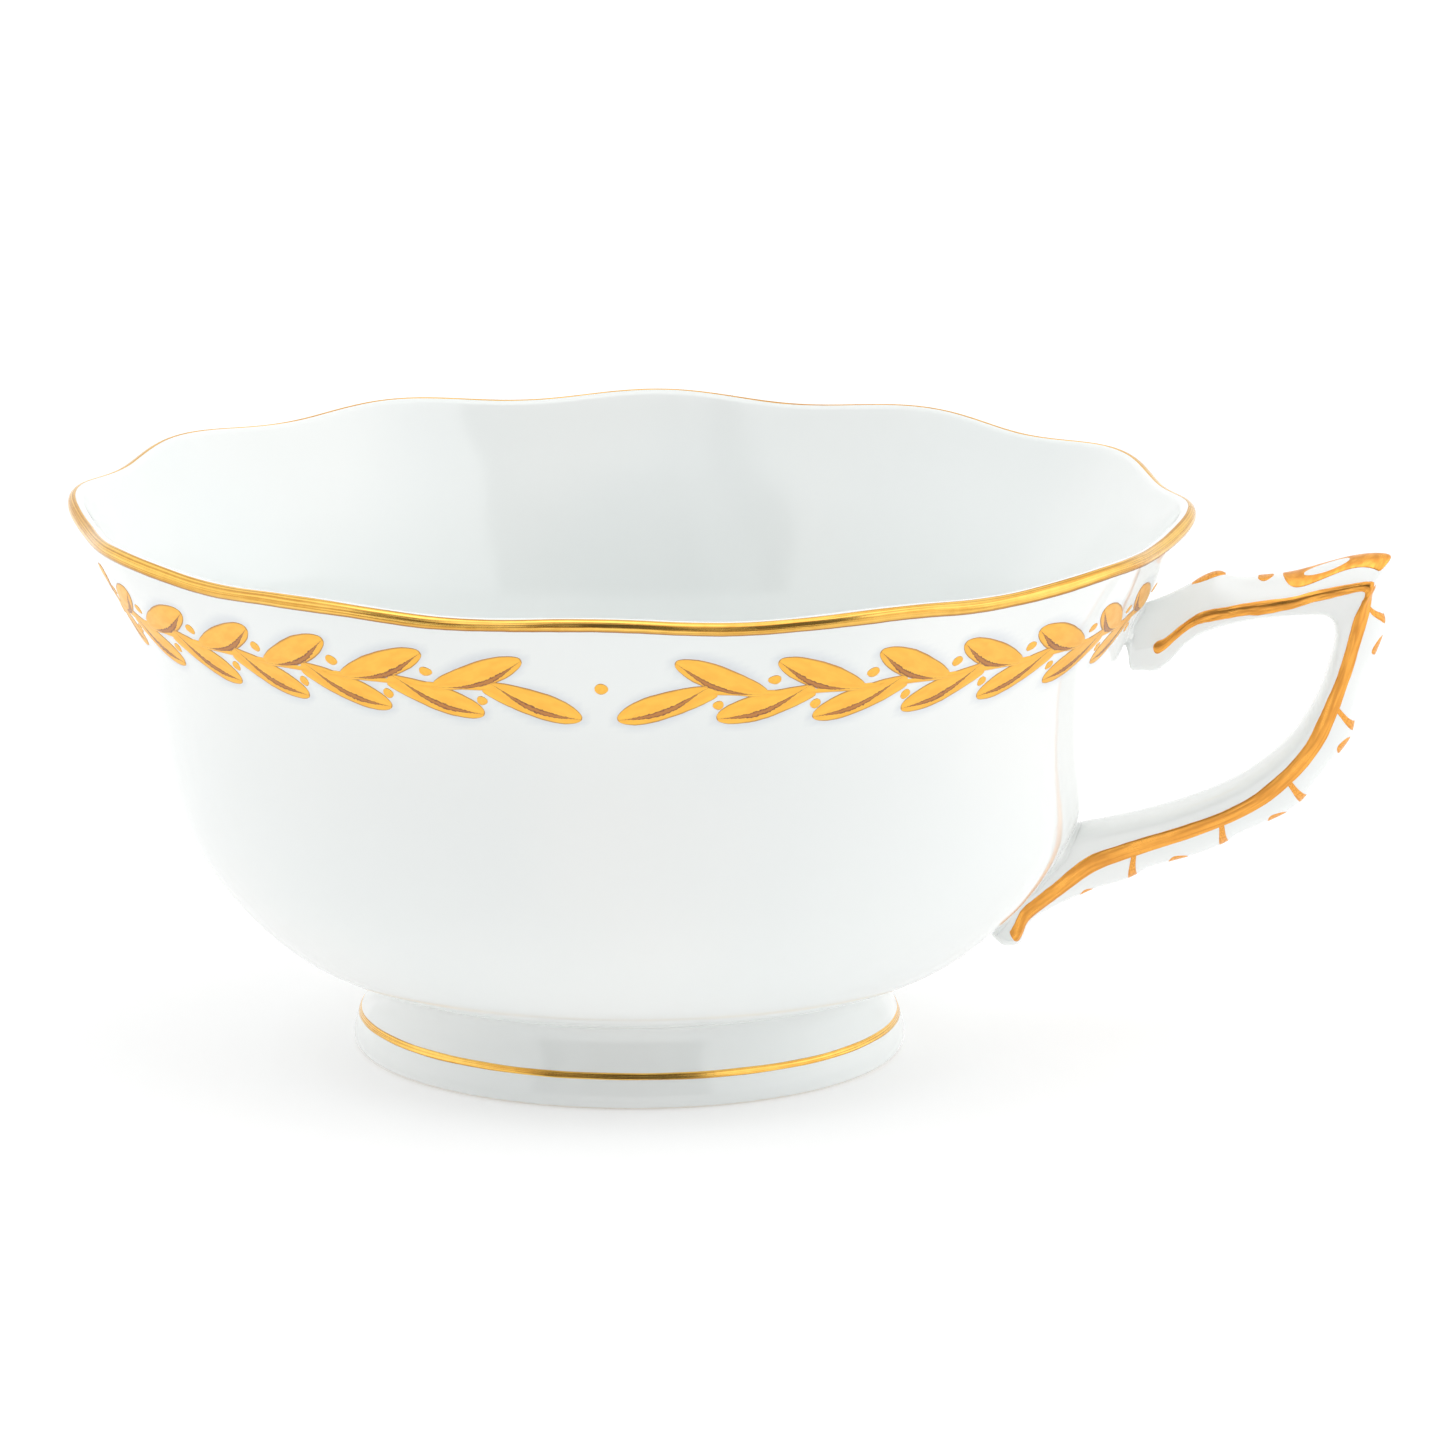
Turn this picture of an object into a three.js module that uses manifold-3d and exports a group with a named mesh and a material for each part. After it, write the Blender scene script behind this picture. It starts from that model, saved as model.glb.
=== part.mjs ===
// A scalloped porcelain teacup: thrown bowl, luted foot ring and luted ear handle, with its gilding.
// Millimetres, +Z up. The cup stands on z = 0 and its handle points along +X.
import * as THREE from "three";
import { mergeVertices } from "three/addons/utils/BufferGeometryUtils.js";
import Module from "manifold-3d";

const wasm = await Module();
wasm.setup();

// ---- Driving dimensions -------------------------------------------------------------------------

// Bowl. RIM_RADIUS and RIM_HEIGHT are the mean lip, outside; the wave goes this far each way.
const RIM_RADIUS = 53.3;
const RIM_HEIGHT = 53.2;
const LOBES = 12;
const LOBE_REACH = 0.6;
const LOBE_RISE = 0.36;
const SCALLOP_START = 37;
const SCALLOP_GROWTH = 1.3;
const LIP_THICKNESS = 1.6;
const BODY_THICKNESS = 2.2;
const BELLY_HEIGHT = 30;
const FLOOR_TOP = 10.2;
const FLOOR_BOTTOM = 7.2;

// Foot ring.
const FOOT_HEIGHT = 7.6;
const FOOT_RADIUS = 26.6;
const FOOT_NECK = 24.8;
const FOOT_INSIDE = 22.4;
const FOOT_RECESS_RADIUS = 20.5;
const FOOT_LINE_HEIGHT = 3.2;
const FOOT_LINE_WIDTH = 0.6;
const FOOT_LINE_RADIUS = 26.15;
const FOOT_LINE_TAPER = 0.25;

// Handle. It is a flat-sided ear, cut back to the wall so that a film of slip fits between.
const HANDLE_WIDTH = 6.4;
const HANDLE_EDGE = 0.5;
const HANDLE_STAND_OFF = 0.5;
const SLIP_OVERHANG = 0.25;

// Gilding is a skin over the glaze.
const GOLD = 0.12;
const CLEAR = 0.05;
const HANDLE_LINE_WIDTH = 1.2;
const THUMB_LEAF_WIDTH = 3.4;
const THUMB_LEAF_LIFT = 0.08;
const RIM_BAND_OUTSIDE = 0.45;
const RIM_BAND_INSIDE = 0.3;

// Laurel band: pairs of leaves in each quarter, pointing at a centre dot a quarter turn from the handle.
const LEAF_PAIRS = 7;
const LEAF_PITCH = 10.8;
const STEM_HEIGHT = 45.8;
const STEM_WIDTH = 0.5;
const LEAF_WIDTH = 2.7;
const LEAF_TIP_WIDTH = 0.25;
const DOT_RADIUS = 0.6;
const DOT_HEIGHT = 46.2;
const DECAL_MIDDLE = 0.22;
const UPPER_LEAF_GOLD = 0.1;
const LOWER_LEAF_GOLD = 0.13;
const LAUREL_STEM_GOLD = 0.16;

// Facets.
const BOWL_FACETS = 96;
const FOOT_FACETS = 64;
const WALL_STEPS_OUTSIDE = 12;
const WALL_STEPS_INSIDE = 10;
const LIP_STEPS = 3;
const LEAF_STEPS = 5;
const STEM_STEPS = 24;

// ---- Materials ----------------------------------------------------------------------------------

const material = (color, roughness, metalness) =>
  new THREE.MeshStandardMaterial({ color, roughness, metalness });
const GLAZE = material(0xf3f4f2, 0.08, 0);
const BRIGHT_GOLD = material(0xd9a93a, 0.22, 1);
const MATT_GOLD = material(0xe8b45c, 0.42, 1);

// ---- Solids -------------------------------------------------------------------------------------

// A closed mesh with only its positions, each shared by the faces around it.
function closedMesh(geometry) {
  const bare = geometry.clone();
  bare.deleteAttribute("normal");
  bare.deleteAttribute("uv");
  return mergeVertices(bare, 1e-4);
}

function solidOf(geometry) {
  const mesh = closedMesh(geometry);
  return new wasm.Manifold(
    new wasm.Mesh({
      numProp: 3,
      vertProperties: new Float32Array(mesh.attributes.position.array),
      triVerts: new Uint32Array(mesh.index.array),
    }),
  );
}

function geometryOf(solid) {
  const mesh = solid.getMesh();
  return new THREE.BufferGeometry()
    .setAttribute("position", new THREE.BufferAttribute(mesh.vertProperties, 3))
    .setIndex(new THREE.BufferAttribute(mesh.triVerts, 1));
}

const joined = (solids) => solids.reduce((whole, next) => whole.add(next));

// Moves each vertex of a geometry to the place that the function gives for it.
function reshape(geometry, place) {
  const position = geometry.attributes.position;
  const vertex = new THREE.Vector3();
  for (let i = 0; i < position.count; i++) {
    place(vertex.fromBufferAttribute(position, i));
    position.setXYZ(i, vertex.x, vertex.y, vertex.z);
  }
  return geometry;
}

const cup = new THREE.Group();

function addPiece(name, geometry, finish) {
  const mesh = new THREE.Mesh(geometry, finish);
  mesh.name = name;
  cup.add(mesh);
}

// ---- Turned shapes ------------------------------------------------------------------------------

const xy = (pairs) => pairs.map(([x, y]) => new THREE.Vector2(x, y));
const curvePoints = (pairs, steps) => new THREE.SplineCurve(xy(pairs)).getPoints(steps);

// A profile of (radius, height) points turned about the Z axis.
function turned(profile, facets) {
  return new THREE.LatheGeometry(profile, facets).rotateX(Math.PI / 2);
}

// The profile moved sideways from itself by a distance, to its right when walked along. The distance
// is one number, or a function of the point.
function offsetProfile(points, distance) {
  const distanceAt = typeof distance === "function" ? distance : () => distance;
  return points.map((point, i) => {
    const before = points[Math.max(i - 1, 0)];
    const after = points[Math.min(i + 1, points.length - 1)];
    const along = after.clone().sub(before).normalize();
    const d = distanceAt(point);
    return new THREE.Vector2(point.x + along.y * d, point.y - along.x * d);
  });
}

// The scallops start on the wall and grow up the flare, to the full wave at the lip.
function scallop(vertex) {
  const rise = (vertex.z - SCALLOP_START) / (RIM_HEIGHT - SCALLOP_START);
  const growth = THREE.MathUtils.clamp(rise, 0, 1) ** SCALLOP_GROWTH;
  const wave = Math.cos(LOBES * Math.atan2(vertex.y, vertex.x)) * growth;
  const radius = Math.hypot(vertex.x, vertex.y);
  const stretch = radius > 0 ? 1 + (LOBE_REACH * wave) / radius : 1;
  vertex.set(vertex.x * stretch, vertex.y * stretch, vertex.z + LOBE_RISE * wave * growth);
}

const scalloped = (profile) => reshape(turned(profile, BOWL_FACETS), scallop);

// Outside of the wall, from the foot's neck round the belly and up the flare to the lip.
const LIP_RADIUS = LIP_THICKNESS / 2;
const LIP_BASE = RIM_HEIGHT - LIP_RADIUS;
const wallControls = [
  [FOOT_NECK, FOOT_HEIGHT + CLEAR],
  [31.4, 9.8],
  [38.1, 15.2],
  [42.6, 21.7],
  [44.9, 29.3],
  [46.5, 37.6],
  [48.3, 42.8],
  [51.0, 47.7],
  [RIM_RADIUS, LIP_BASE],
];
const wallOutside = curvePoints(wallControls, WALL_STEPS_OUTSIDE);

// Inside of the wall, from the lip down to the middle of the floor. It keeps the wall's thickness,
// which falls off evenly towards the lip, as far down as the turn of the belly.
function wallThickness(height) {
  return THREE.MathUtils.clamp(
    THREE.MathUtils.mapLinear(height, BELLY_HEIGHT, RIM_HEIGHT, BODY_THICKNESS, LIP_THICKNESS),
    LIP_THICKNESS,
    BODY_THICKNESS,
  );
}
const innerWallControls = offsetProfile(xy(wallControls), (point) => -wallThickness(point.y))
  .slice(2, -1)
  .reverse()
  .map((point) => [point.x, point.y]);
const wallInside = curvePoints(
  [
    [RIM_RADIUS - LIP_THICKNESS, LIP_BASE],
    ...innerWallControls,
    [27.6, 12.1],
    [17, FLOOR_TOP + 0.4],
    [0, FLOOR_TOP],
  ],
  WALL_STEPS_INSIDE,
);

// The rounded top of the lip, from outside to inside, out by a distance from the porcelain.
function lipArc(out, steps) {
  const centre = new THREE.Vector2(RIM_RADIUS - LIP_RADIUS, LIP_BASE);
  return Array.from({ length: steps + 1 }, (_, i) => {
    const angle = (Math.PI * i) / steps;
    const radius = LIP_RADIUS + out;
    return new THREE.Vector2(radius * Math.cos(angle), radius * Math.sin(angle)).add(centre);
  });
}

const bowlProfile = [
  ...xy([
    [0, FLOOR_BOTTOM],
    [FOOT_RECESS_RADIUS, FLOOR_BOTTOM],
    [FOOT_RECESS_RADIUS + 1, FOOT_HEIGHT + CLEAR],
  ]),
  ...wallOutside,
  ...lipArc(0, LIP_STEPS).slice(1, -1),
  ...wallInside,
];
addPiece("bowl", scalloped(bowlProfile), GLAZE);

// ---- Foot ring and its gilt line ----------------------------------------------------------------

const FOOT_LINE_LOW = FOOT_LINE_HEIGHT - FOOT_LINE_WIDTH / 2;
const FOOT_LINE_HIGH = FOOT_LINE_HEIGHT + FOOT_LINE_WIDTH / 2;
const footLineLow = new THREE.Vector2(FOOT_LINE_RADIUS, FOOT_LINE_LOW);
const footLineHigh = new THREE.Vector2(FOOT_LINE_RADIUS - FOOT_LINE_TAPER, FOOT_LINE_HIGH);
const footProfile = [
  ...xy([
    [FOOT_INSIDE, FOOT_HEIGHT],
    [FOOT_INSIDE + 0.6, 1.2],
    [FOOT_INSIDE + 1.5, 0],
    [FOOT_RADIUS - 0.9, 0],
    [FOOT_RADIUS - 0.2, 0.3],
    [FOOT_RADIUS, 0.9],
    [FOOT_RADIUS - 0.1, 1.8],
  ]),
  footLineLow,
  footLineHigh,
  ...xy([
    [FOOT_NECK + 0.4, 4.8],
    [FOOT_NECK - 0.05, 6.2],
    [FOOT_NECK, FOOT_HEIGHT],
    [FOOT_INSIDE, FOOT_HEIGHT],
  ]),
];
addPiece("foot_ring", turned(footProfile, FOOT_FACETS), GLAZE);

const footLineInner = offsetProfile([footLineLow, footLineHigh], CLEAR);
const footLineOuter = offsetProfile([footLineLow, footLineHigh], CLEAR + GOLD);
const footLineProfile = [
  footLineInner[0],
  footLineOuter[0],
  footLineOuter[1],
  footLineInner[1],
  footLineInner[0],
];
addPiece("foot_gilt_line", turned(footLineProfile, FOOT_FACETS), BRIGHT_GOLD);

// ---- Rim gilding: a cap that wraps over the lip -------------------------------------------------

// The first point past the lip on each side of the wall, at the band's depth below the lip.
function bandEdge([lipEnd, next], depth) {
  return [lipEnd, lipEnd.clone().lerp(next, depth / (lipEnd.y - next.y))];
}
const outerEdge = bandEdge(wallOutside.slice(-2).reverse(), RIM_BAND_OUTSIDE).reverse();
const innerEdge = bandEdge(wallInside.slice(0, 2), RIM_BAND_INSIDE);
function rimSkin(out) {
  return [
    offsetProfile(outerEdge, out)[0],
    ...lipArc(out, LIP_STEPS),
    offsetProfile(innerEdge, out)[1],
  ];
}
const rimInner = rimSkin(CLEAR);
const rimProfile = [...rimSkin(CLEAR + GOLD), ...rimInner.reverse()];
rimProfile.push(rimProfile[0]);
addPiece("rim_gilding", scalloped(rimProfile), BRIGHT_GOLD);

// ---- Handle -------------------------------------------------------------------------------------

// Outline in the plane of symmetry, as runs that meet at the corners: the thumb rest's top, the
// underside of its tip, the spine down to the tail, the tail's knob, and the finger gap's edge.
const handleRuns = [
  {
    steps: 12,
    through: [[47.5, 42.6], [51.2, 44.7], [54.0, 46.2], [56.2, 47.2], [58.3, 46.8], [62.2, 47.05],
      [67.5, 48.5], [71.2, 49.2], [72.7, 48.8]],
  },
  { steps: 3, through: [[72.7, 48.8], [72.2, 47.4], [71.5, 46.2]] },
  {
    steps: 20,
    through: [[71.5, 46.2], [72.4, 43.4], [70.9, 38.4], [69.4, 32.6], [67.0, 28.0], [64.2, 24.8],
      [59.4, 21.8], [52.1, 18.7], [45.5, 16.3], [40.7, 13.9], [38.6, 12.4]],
  },
  {
    steps: 6,
    through: [[38.6, 12.4], [38.3, 10.8], [37.4, 10.0], [36.2, 10.1], [34.6, 11.2], [32.5, 12.9]],
  },
  { steps: 1, through: [[32.5, 12.9], [40.5, 21.4]] },
  {
    steps: 12,
    through: [[40.5, 21.4], [45.4, 22.5], [50.7, 23.8], [57.2, 26.3], [62.2, 29.9], [65.5, 34.7],
      [67.2, 40.6]],
  },
  {
    steps: 12,
    through: [[67.2, 40.6], [67.3, 42.5], [65.6, 43.4], [61.4, 43.1], [57.6, 42.4], [54.0, 41.0],
      [51.8, 38.7], [50.6, 37.7]],
  },
  { steps: 1, through: [[50.6, 37.7], [47.9, 37.7]] },
  { steps: 2, through: [[47.9, 37.7], [47.6, 40.3], [45.6, 41.8]] },
];
const handleOutline = handleRuns.flatMap(({ through, steps }) =>
  curvePoints(through, steps).slice(1),
);

// A plate with the given outline in the XZ plane, centred on the plane of symmetry.
function plate(outline, width, edge) {
  const options = {
    depth: width - 2 * edge,
    bevelEnabled: edge > 0,
    bevelThickness: edge,
    bevelSize: edge,
    bevelOffset: -edge,
    bevelSegments: 1,
  };
  const geometry = new THREE.ExtrudeGeometry(new THREE.Shape(outline), options);
  return geometry.translate(0, 0, -options.depth / 2).rotateX(Math.PI / 2);
}

// The bowl's outside swollen by a distance, filled in, to cut the handle and the slip back with.
function swollenBowl(distance) {
  const outside = offsetProfile(wallOutside, distance);
  const top = outside[outside.length - 1];
  const profile = [new THREE.Vector2(0, outside[0].y), ...outside, new THREE.Vector2(0, top.y)];
  return solidOf(scalloped(profile));
}

const bowlWithSlip = swollenBowl(HANDLE_STAND_OFF);
const handlePlate = plate(handleOutline, HANDLE_WIDTH, HANDLE_EDGE);
const handleSolid = solidOf(handlePlate).subtract(bowlWithSlip);
addPiece("handle", geometryOf(handleSolid), GLAZE);

// Slip joints: the film of fired slip between each root of the handle and the wall, a little wider
// than the root all round.
const slipShell = swollenBowl(HANDLE_STAND_OFF - CLEAR).subtract(swollenBowl(CLEAR));
const slipBlocks = {
  upper_slip_joint: [[45, 40.6], [52, 40.6], [52, 45.0], [45, 45.0]],
  lower_slip_joint: [[33, 11.5], [37, 11.5], [45, 22.2], [39, 22.6]],
};
for (const [name, corners] of Object.entries(slipBlocks)) {
  const block = solidOf(plate(xy(corners), HANDLE_WIDTH + 2 * SLIP_OVERHANG, 0));
  addPiece(name, geometryOf(block.intersect(slipShell)), GLAZE);
}

// ---- Handle gilding: one line on each flat side, up to the tip and down to the tail --------------

const upperLine = [[50.4, 40.2], [52.8, 42.7], [54.9, 43.6], [58.5, 44.3], [64.2, 45.3], [70.3, 46.9]];
const lowerLine = [[70.3, 46.9], [70.1, 44.2], [69.2, 40.5], [68.1, 36.6], [66.6, 32.6], [64.3, 28.7],
  [61.2, 25.7], [57.9, 23.8], [53.1, 22.1], [48.3, 20.4], [44.5, 18.6], [41.3, 16.5], [38.9, 14.2],
  [37.6, 11.6]];

// A strip of even width along a curve, as an outline.
function strip(through, steps, width) {
  const middle = curvePoints(through, steps);
  return [...offsetProfile(middle, width / 2), ...offsetProfile(middle, -width / 2).reverse()];
}

function handleGilding(side) {
  const outlines = [
    strip(upperLine, 10, HANDLE_LINE_WIDTH),
    strip(lowerLine, 22, HANDLE_LINE_WIDTH),
  ];
  const middle = side * (HANDLE_WIDTH / 2 + CLEAR + GOLD / 2);
  return joined(outlines.map((outline) => solidOf(plate(outline, GOLD, 0).translate(0, middle, 0))));
}
addPiece("handle_gilding_front", geometryOf(handleGilding(-1)), MATT_GOLD);
addPiece("handle_gilding_back", geometryOf(handleGilding(1)), MATT_GOLD);

// Thumb rest gilding: a leaf painted along the top of the thumb rest.
const thumbTop = curvePoints([[62.2, 47.05], [67.5, 48.5], [71.2, 49.2]], 5);
const thumbLeaf = [
  ...offsetProfile(thumbTop, -THUMB_LEAF_LIFT),
  ...offsetProfile(thumbTop, -THUMB_LEAF_LIFT - GOLD).reverse(),
];
addPiece("thumb_rest_gilding", plate(thumbLeaf, THUMB_LEAF_WIDTH, 0), MATT_GOLD);

// ---- Laurel band --------------------------------------------------------------------------------

// Radius of the smooth wall at a height, by walking its profile.
function wallRadius(height) {
  const i = wallOutside.findIndex((point) => point.y > height);
  const [low, high] = [wallOutside[i - 1], wallOutside[i]];
  return THREE.MathUtils.mapLinear(height, low.y, high.y, low.x, high.x);
}

// Wraps a flat drawing onto the wall: x is degrees from the centre dot, y is height, z is lift.
function wrap(geometry, quarter) {
  return reshape(geometry, (vertex) => {
    const angle = Math.PI / 2 - THREE.MathUtils.degToRad(vertex.x);
    const radius = wallRadius(vertex.y) + vertex.z;
    const [x, y] = [radius * Math.cos(angle), radius * Math.sin(angle)];
    vertex.set(x * quarter.x, y * quarter.y, vertex.y);
    scallop(vertex);
  });
}

// Length of one degree round the wall, at the laurel.
const degree = THREE.MathUtils.degToRad(1) * wallRadius(STEM_HEIGHT);

// A leaf from tip to base, each [degrees, height]: a bar whose width swells and closes again, and is
// widest nearer the tip.
function leaf(tip, base, thickness) {
  const along = new THREE.Vector2((base[0] - tip[0]) * degree, base[1] - tip[1]);
  const across = new THREE.Vector2(-along.y, along.x).normalize();
  return reshape(new THREE.BoxGeometry(1, 1, thickness, LEAF_STEPS, 1, 1), (vertex) => {
    const t = vertex.x + 0.5;
    const swell = Math.sin(Math.PI * t ** 0.8) ** 0.8;
    const width = THREE.MathUtils.lerp(LEAF_TIP_WIDTH, LEAF_WIDTH, swell);
    const x = along.x * t + across.x * vertex.y * width;
    const y = along.y * t + across.y * vertex.y * width;
    vertex.set(tip[0] + x / degree, tip[1] + y, DECAL_MIDDLE + vertex.z);
  });
}

// The stem between two angles from the centre dot.
function stem(from, to) {
  const bar = new THREE.BoxGeometry(1, STEM_WIDTH, LAUREL_STEM_GOLD, STEM_STEPS, 1, 1);
  return reshape(bar, (vertex) => {
    const angle = THREE.MathUtils.lerp(from, to, vertex.x + 0.5);
    vertex.set(angle, STEM_HEIGHT + vertex.y, DECAL_MIDDLE + vertex.z);
  });
}

function branch(quarter) {
  const drawings = [stem(LEAF_PITCH, LEAF_PITCH * (LEAF_PAIRS + 0.7))];
  for (let pair = 0; pair < LEAF_PAIRS; pair++) {
    const start = pair * LEAF_PITCH;
    drawings.push(leaf([8.0 + start, 48.9], [18.6 + start, 45.8], UPPER_LEAF_GOLD));
    drawings.push(leaf([1.9 + start, 42.7], [12.9 + start, 46.0], LOWER_LEAF_GOLD));
  }
  const mirrored = quarter.x * quarter.y < 0;
  return drawings.map((drawing) => {
    const wrapped = wrap(drawing, quarter);
    if (!mirrored) turnInsideOut(wrapped);
    return solidOf(wrapped);
  });
}

function turnInsideOut(geometry) {
  const index = geometry.index.array;
  for (let i = 0; i < index.length; i += 3) [index[i], index[i + 1]] = [index[i + 1], index[i]];
}

const quarters = {
  front_right: { x: 1, y: -1 },
  front_left: { x: -1, y: -1 },
  back_right: { x: 1, y: 1 },
  back_left: { x: -1, y: 1 },
};
for (const [place, quarter] of Object.entries(quarters)) {
  addPiece("laurel_branch_" + place, geometryOf(joined(branch(quarter))), MATT_GOLD);
}

for (const [place, side] of Object.entries({ front: -1, back: 1 })) {
  const dot = new THREE.CylinderGeometry(DOT_RADIUS, DOT_RADIUS, GOLD, 12);
  dot.translate(0, side * (wallRadius(DOT_HEIGHT) + LOBE_REACH / 2 + DECAL_MIDDLE), DOT_HEIGHT);
  addPiece("laurel_dot_" + place, dot, MATT_GOLD);
}

// ---- The part's frame: origin under the middle of the whole object, on the surface it stands on --

const box = new THREE.Box3().setFromObject(cup);
cup.position.set(-(box.min.x + box.max.x) / 2, -(box.min.y + box.max.y) / 2, -box.min.z);
const teacup = new THREE.Group();
teacup.add(cup);

export default teacup;
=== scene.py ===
import math

import bmesh
import bpy
import numpy as np
from mathutils import Matrix, Vector


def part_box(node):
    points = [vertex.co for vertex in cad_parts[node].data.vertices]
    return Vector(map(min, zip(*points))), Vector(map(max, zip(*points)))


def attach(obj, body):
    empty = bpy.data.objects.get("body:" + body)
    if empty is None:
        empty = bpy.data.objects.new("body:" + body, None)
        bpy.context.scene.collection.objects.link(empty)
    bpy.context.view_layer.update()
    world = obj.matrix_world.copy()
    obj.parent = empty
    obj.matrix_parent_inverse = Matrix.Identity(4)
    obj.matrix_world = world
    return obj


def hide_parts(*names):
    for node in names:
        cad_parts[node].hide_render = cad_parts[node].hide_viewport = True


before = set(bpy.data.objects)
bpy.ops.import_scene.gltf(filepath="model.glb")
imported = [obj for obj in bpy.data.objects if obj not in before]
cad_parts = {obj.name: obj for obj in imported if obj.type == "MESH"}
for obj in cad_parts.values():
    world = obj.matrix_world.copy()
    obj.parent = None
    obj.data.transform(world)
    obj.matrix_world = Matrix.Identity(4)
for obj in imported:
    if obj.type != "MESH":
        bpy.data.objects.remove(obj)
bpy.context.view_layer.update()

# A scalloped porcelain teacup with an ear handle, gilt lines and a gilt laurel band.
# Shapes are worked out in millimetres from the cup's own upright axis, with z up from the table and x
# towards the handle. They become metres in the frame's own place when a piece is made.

# ---- Driving sizes, from the frame ---------------------------------------------------------------

MM = 0.001
bowl_low, bowl_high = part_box("bowl")
rim_low, rim_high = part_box("rim_gilding")
foot_low, foot_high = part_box("foot_ring")
AXIS = np.array([(bowl_low.x + bowl_high.x) / 2, (bowl_low.y + bowl_high.y) / 2, 0.0])

LOBES = 12
LOBE_REACH = 0.6
LOBE_RISE = 0.36
SCALLOP_START = 37.0
SCALLOP_GROWTH = 1.3

# Gold stands this far above the glaze and reaches this far into it. Parts that cross differ a little.
GOLD = 0.05
SUNK = 0.04
GOLD_STEP = 0.01

RIM_RADIUS = (rim_high.x - rim_low.x) / 2 / MM - LOBE_REACH - GOLD
RIM_HEIGHT = rim_high.z / MM - LOBE_RISE - 1.4 * GOLD
LIP_RADIUS = 0.8
LIP_LEAN = math.radians(26)
BODY_THICKNESS = 2.2
BELLY_HEIGHT = 30.0
FLOOR_TOP = 10.2
BASE_HEIGHT = 7.2

FOOT_RADIUS = (foot_high.x - foot_low.x) / 2 / MM
FOOT_HEIGHT = foot_high.z / MM
FOOT_NECK = FOOT_RADIUS - 1.8
FOOT_INSIDE = FOOT_RADIUS - 4.2
FOOT_LINE_HEIGHT = 3.2
FOOT_LINE_WIDTH = 0.62

# ---- Curves --------------------------------------------------------------------------------------


def smooth_curve(points, shares):
    """The natural cubic spline through the points, with the chord lengths between them as its
    parameter. `shares` go from 0 at the first point to 1 at the last."""
    p = np.asarray(points, float)
    gaps = np.linalg.norm(np.diff(p, axis=0), axis=1)
    place = np.concatenate([[0], np.cumsum(gaps)])
    slopes = np.diff(p, axis=0) / gaps[:, None]
    bending = np.eye(len(p))
    inner = np.arange(1, len(p) - 1)
    bending[inner, inner - 1] = gaps[:-1]
    bending[inner, inner] = 2 * (gaps[:-1] + gaps[1:])
    bending[inner, inner + 1] = gaps[1:]
    load = np.zeros_like(p)
    load[1:-1] = 6 * np.diff(slopes, axis=0)
    second = np.linalg.solve(bending, load)
    at = np.asarray(shares, float) * place[-1]
    i = np.clip(np.searchsorted(place, at) - 1, 0, len(gaps) - 1)
    gap = gaps[i][:, None]
    b = (at - place[i])[:, None] / gap
    a = 1 - b
    return (
        a * p[i]
        + b * p[i + 1]
        + ((a**3 - a) * second[i] + (b**3 - b) * second[i + 1]) * gap**2 / 6
    )


def through(rows, at):
    """Catmull-Rom values through the rows of a table, at fractional row numbers of any shape."""
    table = np.asarray(rows, float)
    at = np.clip(np.asarray(at, float), 0, len(table) - 1)
    i = np.minimum(at.astype(int), len(table) - 2)
    f = (at - i)[..., None]
    before, start = table[np.maximum(i - 1, 0)], table[i]
    end, after = table[i + 1], table[np.minimum(i + 2, len(table) - 1)]
    return 0.5 * (
        2 * start
        + (end - before) * f
        + (2 * before - 5 * start + 4 * end - after) * f**2
        + (3 * (start - end) + after - before) * f**3
    )


def bezier(start, control, end, t):
    """Quadratic curve: (1-t)^2 start + 2t(1-t) control + t^2 end."""
    return (1 - t) ** 2 * start + 2 * t * (1 - t) * control + t**2 * end


def smooth_step(low, high, x):
    """0 below low, 1 above high, 3t^2 - 2t^3 between."""
    t = np.clip((x - low) / (high - low), 0, 1)
    return t * t * (3 - 2 * t)


def waver(x, seed, period):
    """A hand's unsteadiness along x, from -1 to 1: three sines of unlike lengths."""
    turns = 2 * np.pi * x / period
    return (
        np.sin(turns + seed) * 0.5
        + np.sin(2.3 * turns + 2.1 * seed) * 0.3
        + np.sin(5.1 * turns + 3.7 * seed) * 0.2
    )


# ---- Meshes --------------------------------------------------------------------------------------


def grid_faces(rows, columns, wrap_rows=False, wrap_columns=False):
    """Quads of a grid of points, each [row, column] to its next row and next column."""
    index = np.arange(rows * columns).reshape(rows, columns)
    if wrap_rows:
        index = np.vstack([index, index[:1]])
    if wrap_columns:
        index = np.hstack([index, index[:, :1]])
    corners = [index[:-1, :-1], index[1:, :-1], index[1:, 1:], index[:-1, 1:]]
    return np.stack(corners, -1).reshape(-1, 4)


def slab(top, bottom):
    """A closed skin between two grids of points of one size: both grids, and quads round the edge."""
    rows, columns = top.shape[:2]
    count = rows * columns
    index = np.arange(count).reshape(rows, columns)
    edge = np.concatenate([index[0], index[1:, -1], index[-1, -2::-1], index[-2:0:-1, 0]])
    after = np.roll(edge, -1)
    sides = np.stack([edge, after, after + count, edge + count], -1)
    faces = grid_faces(rows, columns)
    points = np.concatenate([top.reshape(-1, 3), bottom.reshape(-1, 3)])
    return points, np.concatenate([faces, faces[:, ::-1] + count, sides])


def sleeve(top, bottom):
    """A closed band between two grids whose rows go right round: its section is a closed loop."""
    loop = np.concatenate([top, bottom[:, ::-1]], axis=1)
    faces = grid_faces(loop.shape[0], loop.shape[1], wrap_rows=True, wrap_columns=True)
    return loop.reshape(-1, 3), faces


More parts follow.
